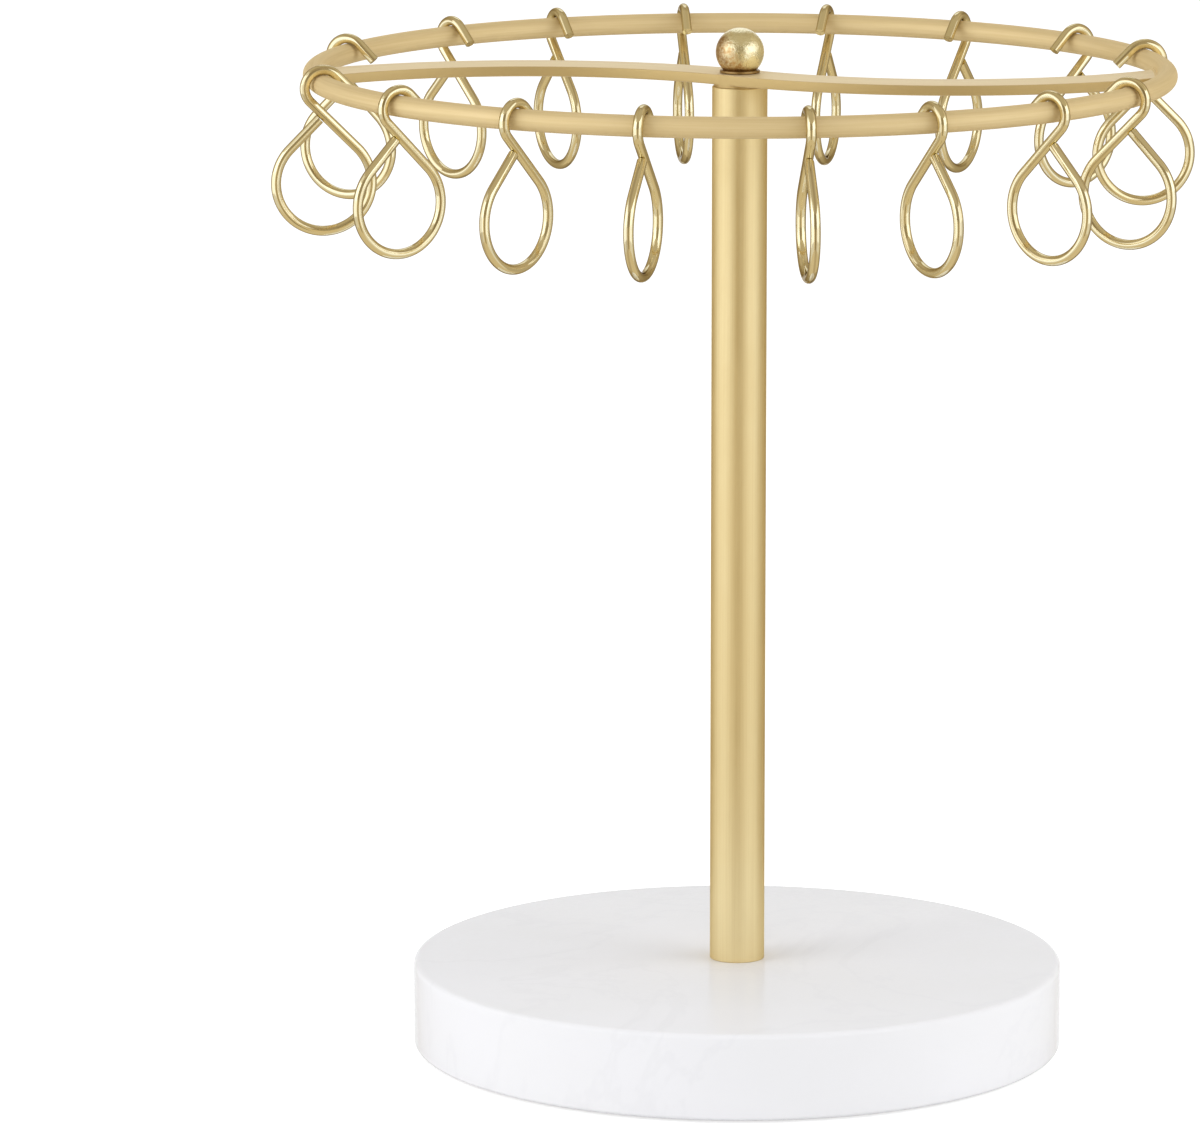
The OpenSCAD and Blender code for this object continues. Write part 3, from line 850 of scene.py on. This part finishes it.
# Sockets 2 and 3 are the ones for whole numbers.
in_loop = put(hook_tree, "FunctionNodeCompare", {2: order, 3: last_of_bend}, data_type="INT",
              operation="GREATER_THAN")
turn_r = put(hook_tree, "GeometryNodeSwitch", {
    "Switch": in_loop, "False": bend, "True": loop}, input_type="FLOAT")
bent = put(hook_tree, "GeometryNodeFilletCurve", {
    "Curve": square_path, "Count": 24, "Radius": turn_r, "Limit Radius": True}, mode="POLY")
even = put(hook_tree, "GeometryNodeResampleCurve", {"Curve": bent, "Length": 0.42 * mm}, mode="LENGTH")
at_end = put(hook_tree, "GeometryNodeCurveEndpointSelection")
cut = put(hook_tree, "GeometryNodeSwitch", {
    "Switch": at_end, "False": 1.0, "True": 0.8}, input_type="FLOAT")
snipped = put(hook_tree, "GeometryNodeSetCurveRadius", {"Curve": even, "Radius": cut})
wire = round_rod(hook_tree, snipped, hook_in["Wire radius"], sides=28)
leaning = moved(
    hook_tree, wire, Translation=xyz(hook_tree, Y=hook_in["Hang"]),
    Rotation=xyz(hook_tree, Z=calc(hook_tree, "MULTIPLY", hook_in["Lean"], -1.0)))
standing = moved(
    hook_tree, leaning,
    Translation=xyz(hook_tree, X=hook_in["Ring radius"], Z=hook_in["Ring height"]),
    Rotation=xyz(hook_tree, X=math.pi / 2, Z=hook_in["Turn"]))
hung = moved(hook_tree, standing, Rotation=xyz(hook_tree, Z=hook_in["Angle"]))
end_tree(hook_tree, hook_in, hook_out, hung)
print("hook nodes:", len(hook_tree.nodes))

# %% [markdown]
# The angle of each hook round the ring is where its hinge stands in the CAD record. The hooks are
# loose, so each one also hangs turned a few degrees out of its plane. Those turns are listed here.

# %% Sixteen hooks
wire_r = 1.15 * mm
bend_inside, loop_inside, play = 3.1 * mm, 9.8 * mm, 0.1 * mm
bend_r, loop_r = bend_inside + wire_r, loop_inside + wire_r
turns_deg = [-4, -4, -8, -4, -0.8, 5.6, 2.4, -1.6, -8, 0.8, 6.4, -1.6, 0, 0, -3.2, 0]
hinges = {j["child"]: j for j in frame["joints"]}
for i, turn_deg in enumerate(turns_deg):
    body = f"hook_{i + 1:02d}"
    hinge = hinges[body]["pos_m"]
    grow("wire_" + body, hook_tree, {
        "Wire radius": wire_r, "Bend radius": bend_r, "Loop radius": loop_r, "Tip": 5.2 * mm,
        "Leg": bend_r + loop_r, "Last leg": loop_r - wire_r - 0.15 * mm, "Lean": math.radians(45),
        "Hang": rod_r + play - bend_inside, "Turn": math.radians(turn_deg),
        "Ring radius": ring_r, "Ring height": ring_z, "Angle": math.atan2(hinge[1], hinge[0]),
        "Material": bright_wire},
        body, [body])

# %% [markdown]
# ## Floor, world and lamps
# The photograph has a pure white ground and hardly a shadow. The floor is a plain pale sheet. Where
# the camera looks at it, a part of its white comes from itself and the rest from the lamps, so the
# contact shadow stays. The world is white for the camera and in reflections, and it lights the
# object more softly. Reflections pass through the floor, because the camera looks down and the post
# would otherwise mirror nothing but floor. The sheet is clear from below, so that the pad can be
# looked at, and it lies a hair lower than the pad's face, so that the two are never mixed up.


# %% Floor and world
def seen_directly(tree):
    """1 where a camera, glossy or transmission ray arrives."""
    path = put(tree, "ShaderNodeLightPath")
    first = calc(tree, "MAXIMUM", path.outputs["Is Camera Ray"], path.outputs["Is Glossy Ray"])
    return calc(tree, "MAXIMUM", first, path.outputs["Is Transmission Ray"])


sheet, tree, shader = bare_finish("pale_sheet", Metallic=0.0, Roughness=0.9, Specular_IOR_Level=0.0)
shader.inputs["Base Color"].default_value = light(236, 236, 236)
veiled = put(tree, "ShaderNodeBsdfDiffuse", {"Color": light(204, 204, 204)})
glow = put(tree, "ShaderNodeEmission", {"Color": (1, 1, 1, 1), "Strength": 0.71})
both = put(tree, "ShaderNodeAddShader", {0: veiled, 1: glow})
chosen = put(tree, "ShaderNodeMixShader", {0: seen_directly(tree), 1: shader, 2: both})
under = put(tree, "ShaderNodeNewGeometry").outputs["Backfacing"]
clear = put(tree, "ShaderNodeBsdfTransparent")
one_sided = put(tree, "ShaderNodeMixShader", {0: under, 1: chosen, 2: clear})
feed(tree, tree.nodes["Material Output"].inputs["Surface"], one_sided)

floor_r, floor_z = 6.0, -0.1 * mm
ground = bmesh.new()
bmesh.ops.create_circle(ground, cap_ends=True, segments=96, radius=floor_r)
bmesh.ops.translate(ground, vec=(0, 0, floor_z), verts=ground.verts[:])
floor = show("floor", as_mesh("floor", ground, sheet))
floor.visible_glossy = False

world = bpy.data.worlds.new("white_room")
world.use_nodes = True
bpy.context.scene.world = world
tree = world.node_tree
tree.nodes.clear()
ambient = put(tree, "ShaderNodeBackground", {"Color": (1, 1, 1, 1), "Strength": 0.6})
white = put(tree, "ShaderNodeBackground", {"Color": (1, 1, 1, 1), "Strength": 1.0})
either = put(tree, "ShaderNodeMixShader", {0: seen_directly(tree), 1: ambient, 2: white})
put(tree, "ShaderNodeOutputWorld", {"Surface": either})
print("floor and world ready")


# %% Softboxes
def away_from(azimuth, elevation):
    """The way out from the stand. Azimuth 0 is the camera's side and 90 is the right."""
    a, e = math.radians(azimuth), math.radians(elevation)
    return Vector((math.sin(a) * math.cos(e), -math.cos(a) * math.cos(e), math.sin(e)))


def softbox(name, azimuth, elevation, distance, width, height, radiance):
    """An area lamp that faces the object. Reflections see the panels in its place."""
    data = bpy.data.lights.new(name, "AREA")
    data.shape = "RECTANGLE"
    data.size, data.size_y = width, height
    data.energy = radiance * math.pi * width * height
    away = away_from(azimuth, elevation)
    lamp = show(name, data)
    lamp.location = lamps_aim + away * distance
    lamp.rotation_euler = (-away).to_track_quat("-Z", "Y").to_euler()
    lamp.visible_camera = lamp.visible_glossy = False
    print(name, "watts", round(data.energy, 2))


lamps_aim = Vector((0, 0, 120 * mm))
# Azimuth and elevation in degrees, distance, width and height in metres, radiance.
for name, values in {
        "left_box": (-72, -2, 1.6, 1.4, 2.2, 1.7), "right_box": (86, -2, 1.6, 1.4, 2.2, 1.9),
        "upper_left_box": (-60, 28, 1.55, 0.5, 0.8, 1.5),
        "upper_right_box": (58, 24, 1.55, 0.5, 0.8, 1.5),
        "top_box": (-150, 84, 1.6, 0.6, 0.6, 1.45), "front_fill": (-8, 3, 1.9, 1.2, 0.7, 1.6)}.items():
    softbox(name, *values)

# %% [markdown]
# ### A tent of panels
# In an all-white room polished metal has no shape. So a tent of cloth and card stands round it, and
# every line along a wire or down the post is the reflection of one of its panels. The bright cloths
# are on the left and on the right at the stand's height, the camera's side is dark, and the roof and
# the floor are golden. Each panel is a curved sheet, given by the angles it spans as seen from the
# stand: azimuth 0 is the camera's side and 90 is the right. Only reflections see the panels: they
# throw no light on the floor and no shadow. The post mirrors what lies 11 degrees below the level,
# and the disc's top mirrors the open white world behind the stand, between azimuths 160 and 200.


# %% Panels
def steps_between(start, end):
    """Angles from start to end that are about step_deg apart."""
    steps = max(1, round(abs(end - start) / step_deg))
    return [start + (end - start) * k / steps for k in range(steps + 1)]


def panel(name, azimuths, elevations, distance, bright, tone):
    """A curved sheet between two azimuths and two elevations, in degrees."""
    finish = bare_finish(name + "_tone", "ShaderNodeEmission", Color=light(*tone), Strength=bright)[0]
    shape = bmesh.new()
    rows = [[shape.verts.new(tent_middle + away_from(a, e) * distance)
             for e in steps_between(*elevations)] for a in steps_between(*azimuths)]
    for left, right in zip(rows, rows[1:]):
        for k in range(len(left) - 1):
            shape.faces.new((left[k], right[k], right[k + 1], left[k + 1]))
    sheet = show(name, as_mesh(name, shape, finish))
    sheet.visible_camera = sheet.visible_diffuse = sheet.visible_transmission = False
    sheet.visible_shadow = sheet.visible_volume_scatter = False
    print(name, "brightness", bright)


step_deg = 6
tent_middle = Vector((0, 0, 150 * mm))
plain = (255, 255, 255)
brown, golden, cream = (255, 232, 188), (255, 236, 198), (255, 248, 234)
# Name, azimuths and elevations in degrees, distance in metres, brightness and tone.
panels = [
    ("front_core", (-9, 9), (-34, 36), 1.4, 0.28, brown),
    ("front_left_flank", (-27, -9), (-34, 8), 1.4, 0.66, brown),
    ("front_right_flank", (9, 25), (-34, 8), 1.4, 0.66, brown),
    ("front_left_high_flank", (-30, -9), (8, 36), 1.4, 0.36, brown),
    ("front_right_high_flank", (9, 27), (8, 36), 1.4, 0.36, brown),
    ("left_cloth", (-106, -27), (-16, 8), 1.5, 1.16, plain),
    ("left_high_cloth", (-94, -30), (8, 36), 1.5, 1.5, plain),
    ("left_roof_cloth", (-94, -36), (36, 48), 1.5, 0.8, cream),
    ("left_low_cloth", (-104, -27), (-34, -16), 1.5, 0.72, cream),
    ("left_side_cloth", (-126, -94), (-34, 48), 1.52, 0.52, golden),
    ("right_cloth", (25, 80), (-16, 8), 1.5, 1.1, plain),
    ("right_far_cloth", (80, 92), (-16, 8), 1.5, 0.5, plain),
    ("right_high_cloth", (27, 90), (8, 36), 1.5, 1.4, plain),
    ("right_low_cloth", (25, 92), (-34, -16), 1.5, 0.76, cream),
    ("right_side_cloth", (90, 124), (-34, 6), 1.52, 0.48, golden),
    ("right_side_high_cloth", (90, 124), (6, 48), 1.52, 0.62, golden),
    ("roof_edge", (-36, 90), (36, 48), 1.5, 0.5, golden),
    ("golden_roof", (-126, 124), (48, 89.5), 1.55, 0.48, golden),
    ("golden_floor", (-126, 124), (-89.5, -34), 1.55, 0.64, golden),
    ("back_roof", (124, 234), (76, 89.5), 1.55, 0.48, golden),
    ("back_floor", (124, 234), (-89.5, -66), 1.55, 0.64, golden),
    ("back_left_card", (-160, -126), (-66, 62), 1.45, 0.44, brown),
    ("back_right_card", (124, 160), (-66, 62), 1.45, 0.44, brown),
    ("back_top_card", (120, 240), (62, 76), 1.45, 0.36, brown),
    ("back_low_card", (160, 200), (-66, -30), 1.45, 0.36, brown)]
for values in panels:
    panel(*values)
